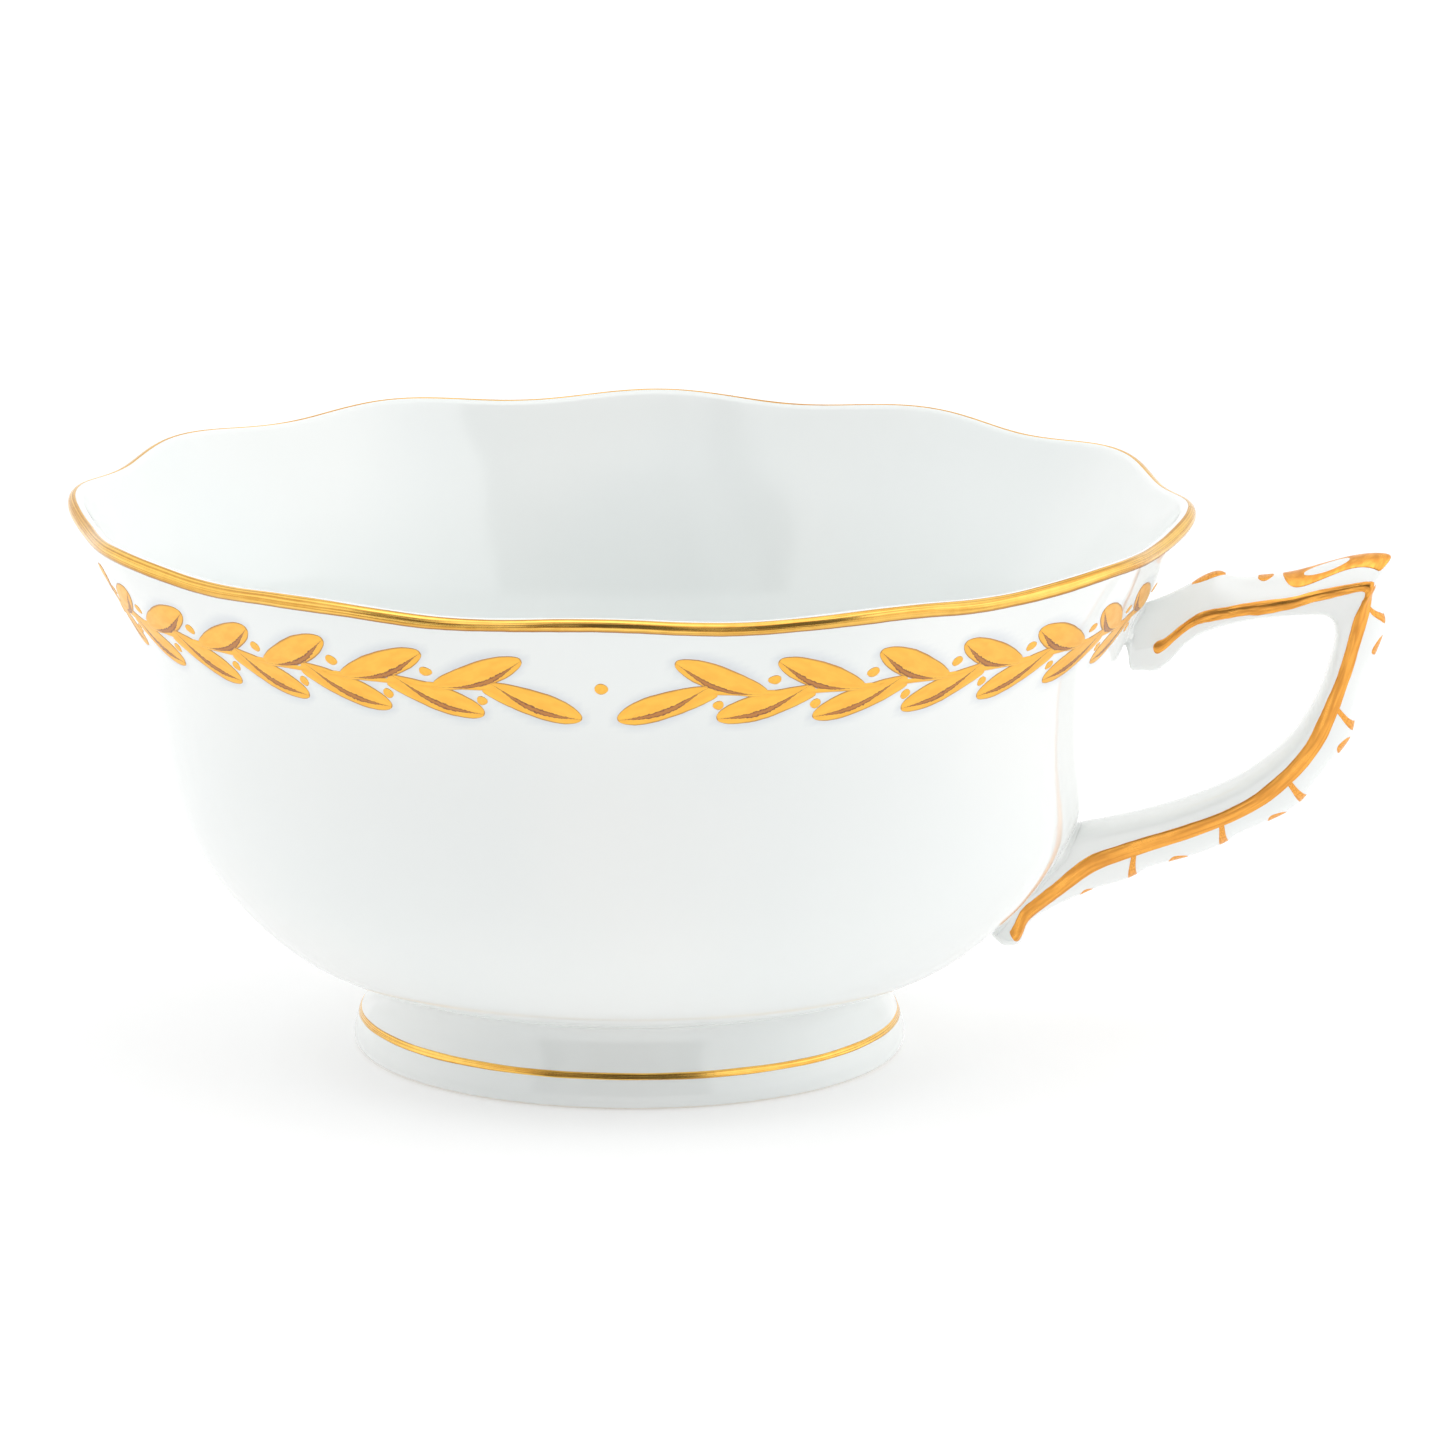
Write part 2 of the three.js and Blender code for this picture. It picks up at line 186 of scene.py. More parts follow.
def join(shapes):
    """Several (points, faces, attributes) shapes as one."""
    points, faces, attributes, start = [], [], {}, 0
    for shape_points, shape_faces, shape_attributes in shapes:
        points.append(shape_points)
        faces.append(shape_faces + start)
        start += len(shape_points)
        for key, values in shape_attributes.items():
            attributes.setdefault(key, []).append(values)
    joined = {key: np.concatenate(values) for key, values in attributes.items()}
    return np.concatenate(points), np.concatenate(faces), joined


def make_piece(name, shape, material, replaced=()):
    """A mesh object from (points in mm, quads, attributes), closed, facing out, riding on the cup."""
    points, faces, attributes = shape
    mesh = bpy.data.meshes.new(name)
    mesh.vertices.add(len(points))
    mesh.vertices.foreach_set("co", (points * MM + AXIS).astype(np.float32).ravel())
    mesh.loops.add(faces.size)
    mesh.loops.foreach_set("vertex_index", faces.astype(np.int32).ravel())
    mesh.polygons.add(len(faces))
    mesh.polygons.foreach_set("loop_start", np.arange(0, faces.size, 4, dtype=np.int32))
    mesh.update(calc_edges=True)
    for key, values in attributes.items():
        layer = mesh.attributes.new(key, "FLOAT", "POINT")
        layer.data.foreach_set("value", np.asarray(values, np.float32))
    build = bmesh.new()
    build.from_mesh(mesh)
    bmesh.ops.remove_doubles(build, verts=build.verts, dist=1e-7)
    bmesh.ops.recalc_face_normals(build, faces=build.faces)
    build.to_mesh(mesh)
    build.free()
    mesh.shade_smooth()
    mesh.materials.append(material)
    piece = bpy.data.objects.new(name, mesh)
    bpy.context.scene.collection.objects.link(piece)
    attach(piece, "root")
    if replaced:
        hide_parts(*replaced)
    return piece


def film(place, rows, columns, lift=GOLD, ring=False, sunk=SUNK):
    """A skin of gold on a surface. place(t, q) gives points and outward hints for t from 0 to 1 along
    the film and q from -1 to 1 across it. The skin stands off along the surface's normal by lift times
    (1 - |q|^8)^(1/2) (1 - |2t - 1|^24)^(1/2), or without the second factor where it goes right round,
    and its underside is sunk a little. Rows and columns are closer together near its edges."""
    t = np.linspace(0, 1, rows, endpoint=not ring)
    if not ring:
        t = 0.5 - 0.5 * np.cos(np.pi * t)
    q = np.sin(np.linspace(-np.pi / 2, np.pi / 2, columns))
    t, q = np.meshgrid(t, q, indexing="ij")
    points, hint = place(t, q)
    step = 1e-3
    along = place(t + step, q)[0] - place(t - step, q)[0]
    across = place(t, q + step)[0] - place(t, q - step)[0]
    normal = np.cross(along, across)
    normal /= np.linalg.norm(normal, axis=-1, keepdims=True) + 1e-12
    normal *= np.sign(np.sum(normal * hint, -1, keepdims=True))
    swell = np.sqrt(np.clip(1 - np.abs(q) ** 8, 0, 1))
    if not ring:
        swell = swell * np.sqrt(np.clip(1 - np.abs(2 * t - 1) ** 24, 0, 1))
    top = points + normal * (lift * swell)[..., None]
    bottom = points - normal * sunk
    shape = (sleeve if ring else slab)(top, bottom)

    def both(values):
        if ring:
            return np.concatenate([values, values[:, ::-1]], axis=1).ravel()
        return np.concatenate([values.ravel(), values.ravel()])

    return (*shape, {"along": both(t), "across": both(q)})


NO_STROKE = 9.0


def without_stroke(shape, edge=1.0):
    """A film with no brush stroke in it, whose outline is drawn where |q| times edge nears 1."""
    points, faces, values = shape
    values["stroke"] = np.full(len(points), NO_STROKE)
    values["edge"] = np.abs(values["across"]) * edge
    return points, faces, values


# ---- The wall of the bowl ------------------------------------------------------------------------

LIP_CENTRE = np.array([RIM_RADIUS - LIP_RADIUS, RIM_HEIGHT - LIP_RADIUS])


def lip_arc(steps):
    """The rounded lip from outside to inside: half a circle that starts square to the flare."""
    angle = np.linspace(-LIP_LEAN, np.pi - LIP_LEAN, steps)
    return LIP_CENTRE + LIP_RADIUS * np.stack([np.cos(angle), np.sin(angle)], -1)


# (radius, height) up the outside, from the foot's neck round the belly and up the flare.
WALL = [
    (FOOT_NECK, FOOT_HEIGHT + 0.05),
    (31.4, 9.8),
    (38.1, 15.2),
    (42.6, 21.7),
    (44.9, 29.3),
    (46.5, 37.6),
    (48.3, 42.8),
    (50.95, 47.7),
    tuple(lip_arc(2)[0]),
]


def wall_thickness(height):
    """The body's thickness up to the belly, then falling evenly to the lip's."""
    return np.interp(height, [BELLY_HEIGHT, RIM_HEIGHT], [BODY_THICKNESS, 2 * LIP_RADIUS])


def inside_controls():
    """Points down the inside: the outside's, moved square to it by the thickness, then the floor."""
    p = np.array(WALL)
    along = np.gradient(p, axis=0)
    along /= np.linalg.norm(along, axis=1, keepdims=True)
    inward = np.stack([-along[:, 1], along[:, 0]], -1)
    moved = p + inward * wall_thickness(p[:, 1])[:, None]
    floor = [(27.6, 12.1), (17.0, FLOOR_TOP + 0.4), (8.5, FLOOR_TOP + 0.1), (0.0, FLOOR_TOP)]
    return [tuple(lip_arc(2)[1]), *moved[2:-1][::-1], *floor]


OUTSIDE = smooth_curve(WALL, np.linspace(0, 1, 90))
INSIDE = smooth_curve(inside_controls(), np.linspace(0, 1, 62))
BASE = [(0, BASE_HEIGHT + 0.1), (8, BASE_HEIGHT + 0.08), (16, BASE_HEIGHT), (21, BASE_HEIGHT)]
UNDERSIDE = np.array([*BASE, (22.4, FOOT_HEIGHT - 0.2)])
FINE_WALL = smooth_curve(WALL, np.linspace(0, 1, 1500))
BOWL_COLUMNS = LOBES * 36


def scallop(points):
    """Waves the wall: radius and height each gain a cosine of the lobes' angle, times a growth that
    rises with height from the start of the scallops to the lip."""
    x, y, z = points[..., 0], points[..., 1], points[..., 2]
    growth = np.clip((z - SCALLOP_START) / (RIM_HEIGHT - SCALLOP_START), 0, 1.02) ** SCALLOP_GROWTH
    wave = np.cos(LOBES * np.arctan2(y, x)) * growth
    stretch = 1 + LOBE_REACH * wave / np.maximum(np.hypot(x, y), 1.0)
    return np.stack([x * stretch, y * stretch, z + LOBE_RISE * wave * growth], -1)


def round_axis(radius, angle, height):
    """Points at a distance from the axis, an angle from the handle in radians, and a height."""
    return np.stack(np.broadcast_arrays(radius * np.cos(angle), radius * np.sin(angle), height), -1)


def turned(profile, columns):
    """A profile of (radius, height) carried round the axis, one row for each angle."""
    angle = np.linspace(0, 2 * np.pi, columns, endpoint=False)[:, None]
    return round_axis(profile[None, :, 0], angle, profile[None, :, 1])


def wall_radius(height):
    """Radius of the smooth wall at a height, by looking along the fine profile."""
    return np.interp(height, FINE_WALL[:, 1], FINE_WALL[:, 0])


def on_wall(angle, height):
    """Point of the scalloped outside at an angle from the handle, in radians, and a height."""
    return scallop(round_axis(wall_radius(height), angle, height))


# ---- Laurel drawing: one quarter, in millimetres along the wall and up it ---------------------------

LEAF_PAIRS = 7
LEAF_PITCH = 10.8
STEM_HEIGHT = 45.85
STEM_START = 10.2
DOT_CENTRE = np.array([0.25, 46.2])
MM_PER_DEGREE = math.radians(1) * wall_radius(STEM_HEIGHT)

# The first pair's leaves, 1 the upper and -1 the lower: tip and base as (degrees from the dot, height),
# half width, how far the middle line bows upwards, and how broadly the leaf runs into the stem.
LEAF_TIP = {1: (7.8, 49.2), -1: (1.9, 43.05)}
LEAF_BASE = {1: (17.9, 45.85), -1: (12.4, 46.0)}
LEAF_HALF_WIDTH = {1: 1.28, -1: 1.36}
BOW = {1: -0.15, -1: 0.02}
STALK = {1: 0.14, -1: 0.34}
TIP_STRAY = {1: 0.25, -1: 0.1}

# The first pair's berries above and below the stem: degrees, height, half width and half height.
BERRIES = [(18.5, 47.3, 0.62, 0.46), (12.75, 44.5, 0.52, 0.46)]

# Outlines: how near they come to the edge of stem and berries, and how fast they leave a leaf's tip.
FAINT_OUTLINE = 0.97
TIP_OUTLINE = 9


def branch_drop(x, y, degrees):
    """How much lower than the drawing a branch hangs, in mm: nothing at the dot, then the amount for
    its quarter."""
    right, left = np.where(y < 0, 0.5, 0.3), np.where(y < 0, 0.15, 0.3)
    return np.where(x > 0, right, left) * smooth_step(8, 22, degrees)


def drawn(degrees, height):
    """A place on the flat drawing, in mm."""
    return np.array([degrees * MM_PER_DEGREE, height])


def laurel_leaves():
    """Each leaf of a branch as (tip, base, half width, side) on the flat drawing: an upper and a lower
    one for each pair. The hand that drew them wanders a little."""
    leaves = []
    for pair in range(LEAF_PAIRS):
        start = pair * LEAF_PITCH
        for side in (1, -1):
            stray = TIP_STRAY[side] * math.sin(5.0 * pair + 0.7)
            tip = drawn(LEAF_TIP[side][0] + start, LEAF_TIP[side][1] - stray)
            base = drawn(LEAF_BASE[side][0] + start, LEAF_BASE[side][1])
            leaves.append((tip, base, LEAF_HALF_WIDTH[side], side))
    return leaves


def leaf_drawing(leaf):
    """place(t, q) of a leaf on the flat drawing: t from tip to base along a gently bowed middle line,
    q across. Half width = belly x (sin(pi t^0.8)^0.64 + stalk x t^4), so it is round near the tip and
    runs into the stem."""
    tip, base, belly, side = leaf
    along = base - tip
    across = np.array([-along[1], along[0]]) / np.linalg.norm(along)

    def place(t, q):
        share = np.clip(t, 0.0, 1.0)
        half = belly * (np.sin(np.pi * share**0.8) ** 0.64 + STALK[side] * share**4) + 0.05
        half = half + 0.035 * waver(share, tip[0] + 9 * np.sign(q), 0.5) * np.abs(q)
        offset = q * half + BOW[side] * np.sin(np.pi * share)
        return tip + t[..., None] * along + offset[..., None] * across

    return place


def wrapped(drawing, quarter):
    """The same place on the wall of one quarter: x along the drawing is an angle from the dot."""
    def place(t, q):
        flat = drawing(t, q)
        degrees = flat[..., 0] / MM_PER_DEGREE
        height = flat[..., 1] - branch_drop(*quarter, degrees)
        points = on_wall(np.pi / 2 - np.radians(degrees), height) * np.array([*quarter, 1])
        return points, points * np.array([1, 1, 0])

    return place


def leaf_stroke(t, q, side):
    """Signed place in a leaf's brush stroke, within 1 inside it. On an upper leaf its middle lies at
    -0.15 - 0.62 sin(2.6 t) across, on a lower one at 2.3 t^3 - t - 0.2, and it dies out before the
    base."""
    middle = -0.15 - 0.62 * np.sin(2.6 * t) if side > 0 else 2.3 * t**3 - t - 0.2
    breadth = 0.2 * np.sin(np.pi * np.clip((t - 0.04) / 0.84, 0.0, 1.0)) ** 0.8
    return (q - middle) / np.maximum(breadth, 0.015)


def laurel_shape(quarter):
    """One branch: its leaves, the stem between them and a berry above and below each joint."""
    shapes = []
    for leaf in laurel_leaves():
        points, faces, values = film(
            wrapped(leaf_drawing(leaf), quarter), 25, 13, GOLD + GOLD_STEP * leaf[3]
        )
        t, q = values["along"], values["across"]
        values["stroke"] = leaf_stroke(t, q, leaf[3])
        values["edge"] = np.maximum(np.abs(q), 1 - t * TIP_OUTLINE)
        shapes.append((points, faces, values))

    start, end = STEM_START * MM_PER_DEGREE, (LEAF_PAIRS * LEAF_PITCH + 5.5) * MM_PER_DEGREE

    def stem(t, q):
        x = start + t * (end - start)
        half = 0.30 + 0.05 * np.sin(2 * np.pi * (x / MM_PER_DEGREE - 15.4) / LEAF_PITCH)
        return np.stack([x, STEM_HEIGHT + q * half], -1)

    stem_film = film(wrapped(stem, quarter), 160, 5, GOLD - GOLD_STEP)
    shapes.append(without_stroke(stem_film, FAINT_OUTLINE))
    for pair in range(LEAF_PAIRS):
        for degrees, height, wide, tall in BERRIES:
            centre = drawn(degrees + pair * LEAF_PITCH, height)
            berry = film(wrapped(drop(centre, wide, tall, pair), quarter), 14, 7)
            shapes.append(without_stroke(berry, FAINT_OUTLINE))
    return join(shapes)


def drop(centre, wide, tall, seed):
    """place(t, q) of a small round spot: columns of an ellipse, a little uneven."""
    def place(t, q):
        x = np.clip(2 * t - 1, -1, 1)
        half = np.sqrt(np.clip(1 - x**2, 0, 1)) + 0.05
        spot = np.stack([x * wide, q * half * tall * (1 + 0.12 * np.sin(2 * x + seed))], -1)
        spot[..., 0] += 0.02 * (t - np.clip(t, 0, 1))
        return spot + centre

    return place


# ---- Handle --------------------------------------------------------------------------------------

# Sections from the upper root, along the thumb rest, round its tip and down the spine to the tail.
# Each is (inner x, inner z, outer x, outer z, share of the way out to the ridge, half width). The first
# and last lie inside the wall.
SECTIONS = [
    (47.0, 41.7, 47.8, 43.0, 0.42, 2.6),
    (47.35, 40.6, 47.9, 43.2, 0.42, 3.0),
    (47.7, 39.4, 48.1, 43.3, 0.42, 3.25),
    (47.85, 38.2, 48.2, 43.4, 0.42, 3.3),
    (48.25, 37.72, 48.5, 43.6, 0.42, 3.3),
    (49.3, 37.7, 49.5, 44.1, 0.42, 3.3),
    (50.5, 37.78, 51.5, 44.9, 0.41, 3.3),
    (51.8, 38.8, 53.4, 45.9, 0.46, 3.25),
    (53.0, 40.2, 54.9, 46.8, 0.43, 3.2),
    (54.3, 41.2, 56.2, 47.25, 0.40, 3.2),
    (55.9, 41.9, 57.4, 46.95, 0.40, 3.2),
    (57.6, 42.4, 58.6, 46.75, 0.42, 3.2),
    (60.0, 42.9, 60.6, 46.9, 0.43, 3.2),
    (62.6, 43.2, 63.4, 47.3, 0.45, 3.2),
    (64.6, 43.35, 66.2, 48.1, 0.50, 3.2),
    (65.9, 43.4, 68.6, 48.8, 0.51, 3.2),
    (66.7, 43.2, 70.6, 49.15, 0.56, 3.15),
    (67.1, 42.8, 72.2, 49.15, 0.62, 3.1),
    (67.25, 42.5, 72.62, 48.75, 0.645, 3.1),
    (67.35, 42.0, 72.2, 47.6, 0.65, 3.15),
    (67.4, 41.4, 71.55, 46.3, 0.62, 3.2),
    (67.3, 40.6, 71.7, 44.6, 0.53, 3.2),
    (67.1, 39.6, 72.0, 42.9, 0.45, 3.2),
    (66.6, 37.6, 71.3, 39.8, 0.44, 3.2),
    (65.9, 35.6, 70.35, 36.9, 0.44, 3.2),
    (65.0, 33.8, 69.6, 34.1, 0.45, 3.2),
    (63.8, 31.8, 68.7, 31.3, 0.46, 3.2),
    (62.2, 29.9, 67.3, 28.8, 0.47, 3.2),
    (60.2, 28.2, 65.4, 26.3, 0.48, 3.2),
    (57.8, 26.6, 63.1, 24.1, 0.49, 3.2),
    (55.0, 25.3, 60.1, 22.3, 0.50, 3.2),
    (51.8, 24.15, 56.4, 20.55, 0.50, 3.2),
    (48.6, 23.25, 52.4, 18.95, 0.50, 3.2),
    (45.4, 22.5, 48.6, 17.55, 0.52, 3.25),
    (42.9, 21.9, 45.9, 16.45, 0.56, 3.25),
    (41.2, 20.6, 43.5, 15.3, 0.62, 3.2),
    (39.9, 18.8, 41.5, 14.35, 0.66, 3.1),
    (38.4, 17.0, 39.8, 13.4, 0.70, 3.0),
    (37.0, 15.5, 38.7, 12.5, 0.74, 2.85),
    (36.0, 14.4, 38.25, 11.4, 0.78, 2.7),
    (35.3, 13.6, 37.75, 10.5, 0.78, 2.5),
    (35.0, 13.3, 37.0, 10.15, 0.72, 2.35),
    (34.9, 13.2, 36.0, 10.2, 0.60, 2.2),
    (34.7, 13.1, 34.9, 11.2, 0.60, 2.1),
    (34.5, 12.9, 33.6, 12.1, 0.60, 2.0),
]
LAST_SECTION = len(SECTIONS) - 1
TIP_SECTION = 18.0
MITRE_SECTION = 20.2
LINE_START = 5.5
LINE_END = 40.1
SPINE_HALF_WIDTH = 1.75
INNER_ROUND = 1.0
SCALE_RISE = 0.42

# Scales on the spine, each between two sections. Its gold crease runs from the ridge at the first
# section of CREASES to the spine at the second, and its stroke follows the spine between the two of
# EDGES.
SCALES = [(22.1, 23.3), (25.5, 26.9), (28.2, 29.9), (30.8, 32.2), (33.0, 34.4)]
CREASES = [(19.6, 22.0), (24.7, 25.6), (27.9, 28.45), (30.3, 30.85), (32.6, 33.1)]
EDGES = [(22.6, 23.15), (26.0, 26.65), (29.1, 29.65), (31.7, 32.15), (34.5, 35.05)]


def scale_bump(section):
    """Rise of the spine's scales: each swells quickly past its crease and eases off to its end."""
    rise = np.zeros_like(section)
    for start, end in SCALES:
        f = np.clip((section - start + 0.35) / (end - start + 0.5), 0, 1)
        rise = rise + np.sin(np.pi * f**0.75) ** 1.2
    return SCALE_RISE * rise


def on_handle(section, c):
    """Point of the handle at a fractional section number and c round the section: 0 on the spine,
    1 on the ridge and 2 in the middle of the finger side, negative in front and positive behind.
    From the spine to the ridge is a quadratic curve that leaves the spine square to the handle's
    plane, then a straight flat, then a quadratic round to the finger side. Also gives the hint."""
    row = through(SECTIONS, section)
    inner, outer = row[..., 0:2], row[..., 2:4]
    share, half = row[..., 4], row[..., 5]
    reach = np.linalg.norm(outer - inner, axis=-1)
    direction = (outer - inner) / reach[..., None]
    a = np.abs(c)
    top = reach + scale_bump(section) * np.clip(1 - a, 0, 1) ** 1.5
    ridge = share * reach
    spine_width = np.minimum(SPINE_HALF_WIDTH, 0.62 * half)
    near_tip = np.exp(-(((section - TIP_SECTION) / 1.6) ** 2))
    spine_width = spine_width * (1 - 0.45 * near_tip)
    round_in = np.minimum(INNER_ROUND, 0.6 * ridge)

    q = np.clip(a, 0, 1)
    bevel_w = bezier(top, top, ridge, q)
    bevel_y = bezier(0 * half, spine_width, half, q)
    f = np.clip(2 * (a - 1), 0, 1)
    flat_w = ridge + (round_in - ridge) * f
    r = np.clip(2 * (a - 1.5), 0, 1)
    end_w = bezier(round_in, 0 * half, 0 * half, r)
    end_y = bezier(half, half, 0 * half, r)
    w = np.where(a <= 1, bevel_w, np.where(a <= 1.5, flat_w, end_w))
    y = np.where(a <= 1, bevel_y, np.where(a <= 1.5, half, end_y))
    y = y * np.where(c < 0, -1, 1)
    xz = inner + direction * w[..., None]
    middle = inner + direction * (0.45 * reach)[..., None]
    points = np.stack([xz[..., 0], y, xz[..., 1]], -1)
    centre = np.stack([middle[..., 0], 0 * y, middle[..., 1]], -1)
    return points, points - centre


def handle_columns():
    """Values of c round a section: close together at the ridges, the spine and the finger edge."""
    bevel = 1 - np.linspace(1, 0, 15) ** 1.6
    flat = np.linspace(1, 1.5, 9)[1:]
    inner = np.linspace(1.5, 2, 9)[1:]
    half = np.concatenate([bevel, flat, inner])
    return np.concatenate([-half[::-1], half[1:-1]])


def handle_shape():
    section = np.linspace(0, LAST_SECTION, LAST_SECTION * 9 + 1)
    section, c = np.meshgrid(section, handle_columns(), indexing="ij")
    points, _ = on_handle(section, c)
    rows, columns = section.shape
    first, last = points[0].mean(0), points[-1].mean(0)
    caps = np.concatenate([np.tile(first, (1, columns, 1)), points, np.tile(last, (1, columns, 1))])
    return caps.reshape(-1, 3), grid_faces(rows + 2, columns, wrap_columns=True), {}


def ridge_line(first, last, widths, free_end, side):
    """place(t, q) of a gold line that follows the ridge between two sections. It reaches `widths` mm
    down the flat and up the bevel, its edges waver a little, it swells at the mitre near the tip and
    is rounded at its free end."""
    inside, outside = widths

    def place(t, q):
        section = first + (last - first) * t
        row = through(SECTIONS, section)
        reach = np.linalg.norm(row[..., 2:4] - row[..., 0:2], axis=-1)
        ridge = row[..., 4] * reach
        flat_length = np.maximum(ridge - np.minimum(INNER_ROUND, 0.6 * ridge), 0.3)
        bevel_length = 2 * np.hypot(reach - ridge, 0.5 * row[..., 5])
        shake = 0.05 * waver(section, 2.0 + np.sign(q), 3.1)
        mitre = np.exp(-(((section - MITRE_SECTION) / 1.3) ** 2))
        blunt = np.sqrt(1 - (1 - np.clip(np.abs(section - free_end) / 0.4, 0.02, 1)) ** 2)
        down = (inside * (1 + 0.25 * mitre) + shake) * blunt / flat_length * 0.5
        up = (outside * (1 + 1.4 * mitre) + shake) * blunt / bevel_length
        c = 1 + np.where(q < 0, -q * down, -q * up)
        return on_handle(section, side * c)

    return place


def crease_line(first, last, half_width, side):
    """place(t, q) of a brush mark that runs straight down the bevel from the ridge at one section to
    the spine at another, flared at its end. Height up the bevel goes with c squared, so c = 0.93
    (1 - t)^(1/2). Its width runs along the handle."""
    def place(t, q):
        share = np.clip(t, 0, 1)
        section = first + (last - first) * t
        c = 0.93 * np.sqrt(1 - 0.999 * share)
        pace = np.linalg.norm(
            on_handle(section + 0.05, side * c)[0] - on_handle(section - 0.05, side * c)[0], axis=-1
        )
        width = half_width * (0.75 + 0.6 * share**2)
        return on_handle(section + q * width * 0.1 / pace, side * c)

    return place


def edge_stroke(first, last, reach, side):
    """place(t, q) of a tapered stroke along the spine, from just over it to c = reach."""
    def place(t, q):
        share = np.clip(t, 0, 1)
        taper = np.sin(np.pi * np.clip(0.12 + 0.86 * share, 0, 1)) ** 0.5
        c = -0.04 + (reach + 0.04) * taper * (q + 1) / 2
        return on_handle(first + (last - first) * t, side * c)

    return place


def handle_gold(side):
    """The gilding of one face: two lines that meet in a mitre at the tip, a crease and an edge stroke
    on each scale, and the small mark beside the thumb rest."""
    shapes = [
        film(ridge_line(LINE_START, 19.0, (0.80, 0.52), LINE_START, side), 120, 13),
        film(ridge_line(18.6, LINE_END, (0.98, 0.88), LINE_END, side), 200, 13, GOLD + 0.012),
        film(edge_stroke(11.75, 12.35, 0.36, side), 12, 7),
    ]
    for crease, edge in zip(CREASES, EDGES):
        shapes.append(film(crease_line(*crease, 0.36, side), 20, 7))
        shapes.append(film(edge_stroke(*edge, 0.45, side), 16, 7))
    return join([without_stroke(shape) for shape in shapes])


def thumb_leaf(t, q):
    """The gold leaf over the top of the thumb rest: from front to back over the spine, between a
    left end short of the middle and the tip. Its lower edge dips and rises again."""
    section = 12.65 + (17.95 - 12.65) * t
    share = np.clip(t, 0, 1)
    depth = 0.66 + 0.09 * np.sin(2.2 * np.pi * share + 1.0)
    depth = depth * np.clip(1 - (2 * share - 1) ** 10, 0.05, 1) ** 0.5
    return on_handle(section, q * depth)


def thumb_highlight_oval(t, q):
    """A white glazed oval inside the thumb leaf, on the front and over the spine: a painted highlight
    where the gold shows a bright reflection.
    """
    section = 13.35 + (15.1 - 13.35) * t
    share = np.clip(t, 0, 1)
    half = 0.24 * np.sqrt(np.clip(1 - (2 * share - 1) ** 2, 0.02, 1))
    return on_handle(section, -0.32 + 0.12 * share + q * half)


def lump_stroke(t, q):
    """A thin stroke along the top of the handle's shoulder."""
    section = 7.2 + 2.4 * t
    half = 0.24 * np.sin(np.pi * np.clip(t, 0.03, 0.97)) ** 0.5
    return on_handle(section, -0.08 + q * half)


# ---- Slip at the roots ---------------------------------------------------------------------------


def outside_wall(points):
    """How far points lie outside the wall, measured level."""
    height = np.clip(points[..., 2], FINE_WALL[0, 1], FINE_WALL[-1, 1])
    angle = np.arctan2(points[..., 1], points[..., 0])
    surface = on_wall(angle, height)
    return np.hypot(points[..., 0], points[..., 1]) - np.hypot(surface[..., 0], surface[..., 1])


def wall_normal(points):
    """Outward unit normal of the wall next to the points, from its slopes round and up."""
    angle, height = np.arctan2(points[..., 1], points[..., 0]), points[..., 2]
    step = 1e-3
    round_it = on_wall(angle + step, height) - on_wall(angle - step, height)
    up = on_wall(angle, height + 0.05) - on_wall(angle, height - 0.05)
    normal = np.cross(round_it, up)
    return normal / np.linalg.norm(normal, axis=-1, keepdims=True)


def handle_normal(section, c):
    """Outward unit normal of the handle, from its slopes along and round."""
    along = on_handle(section + 0.02, c)[0] - on_handle(section - 0.02, c)[0]
    across = on_handle(section, c + 0.004)[0] - on_handle(section, c - 0.004)[0]
    normal = np.cross(along, across)
    normal /= np.linalg.norm(normal, axis=-1, keepdims=True)
    return normal * np.sign(np.sum(normal * on_handle(section, c)[1], -1, keepdims=True))


def softened(directions):
    """Directions round a closed loop, each the mean of its neighbours, so that a corner is rounded."""
    reach = 7
    near = [np.roll(directions, shift, axis=0) for shift in range(-reach, reach + 1)]
    return sum(near) / len(near)


def slip_fillet(sections, size):
    """A hollow fillet round a root. For each c, the section where the handle passes through the wall
    is found between the given ones. The fillet is a quadratic curve from a point out along the handle,
    by way of the crossing, to a point out along the wall, and its back is sunk into both."""
    c = np.linspace(-1.995, 1.995, 241)
    walk = np.linspace(*sections, 900)
    grid, columns = np.meshgrid(walk, c, indexing="ij")
    depth = outside_wall(on_handle(grid, columns)[0])
    crossed = depth > 0
    i = np.maximum(np.argmax(crossed, axis=0), 1)
    before, after = depth[i - 1, np.arange(len(c))], depth[i, np.arange(len(c))]
    section = walk[i - 1] + (walk[i] - walk[i - 1]) * before / (before - after)
    crossing = on_handle(section, c)[0]
    n_wall, n_handle = wall_normal(crossing), handle_normal(section, c)
    facing = np.sum(n_wall * n_handle, -1, keepdims=True)
    up_handle = n_wall - facing * n_handle
    out_wall = n_handle - facing * n_wall
    up_handle = softened(up_handle / np.linalg.norm(up_handle, axis=-1, keepdims=True))
    out_wall = softened(out_wall / np.linalg.norm(out_wall, axis=-1, keepdims=True))
    t = np.linspace(0, 1, 9)[None, :, None]
    first = (crossing + size * up_handle - 0.01 * n_handle)[:, None]
    last = (crossing + size * out_wall - 0.01 * n_wall)[:, None]
    top = bezier(first, crossing[:, None], last, t)
    inward = (n_wall + n_handle)[:, None]
    bottom = top - 0.12 * inward / np.linalg.norm(inward, axis=-1, keepdims=True)
    return (*sleeve(top, bottom), {})


# ---- Foot ring -----------------------------------------------------------------------------------

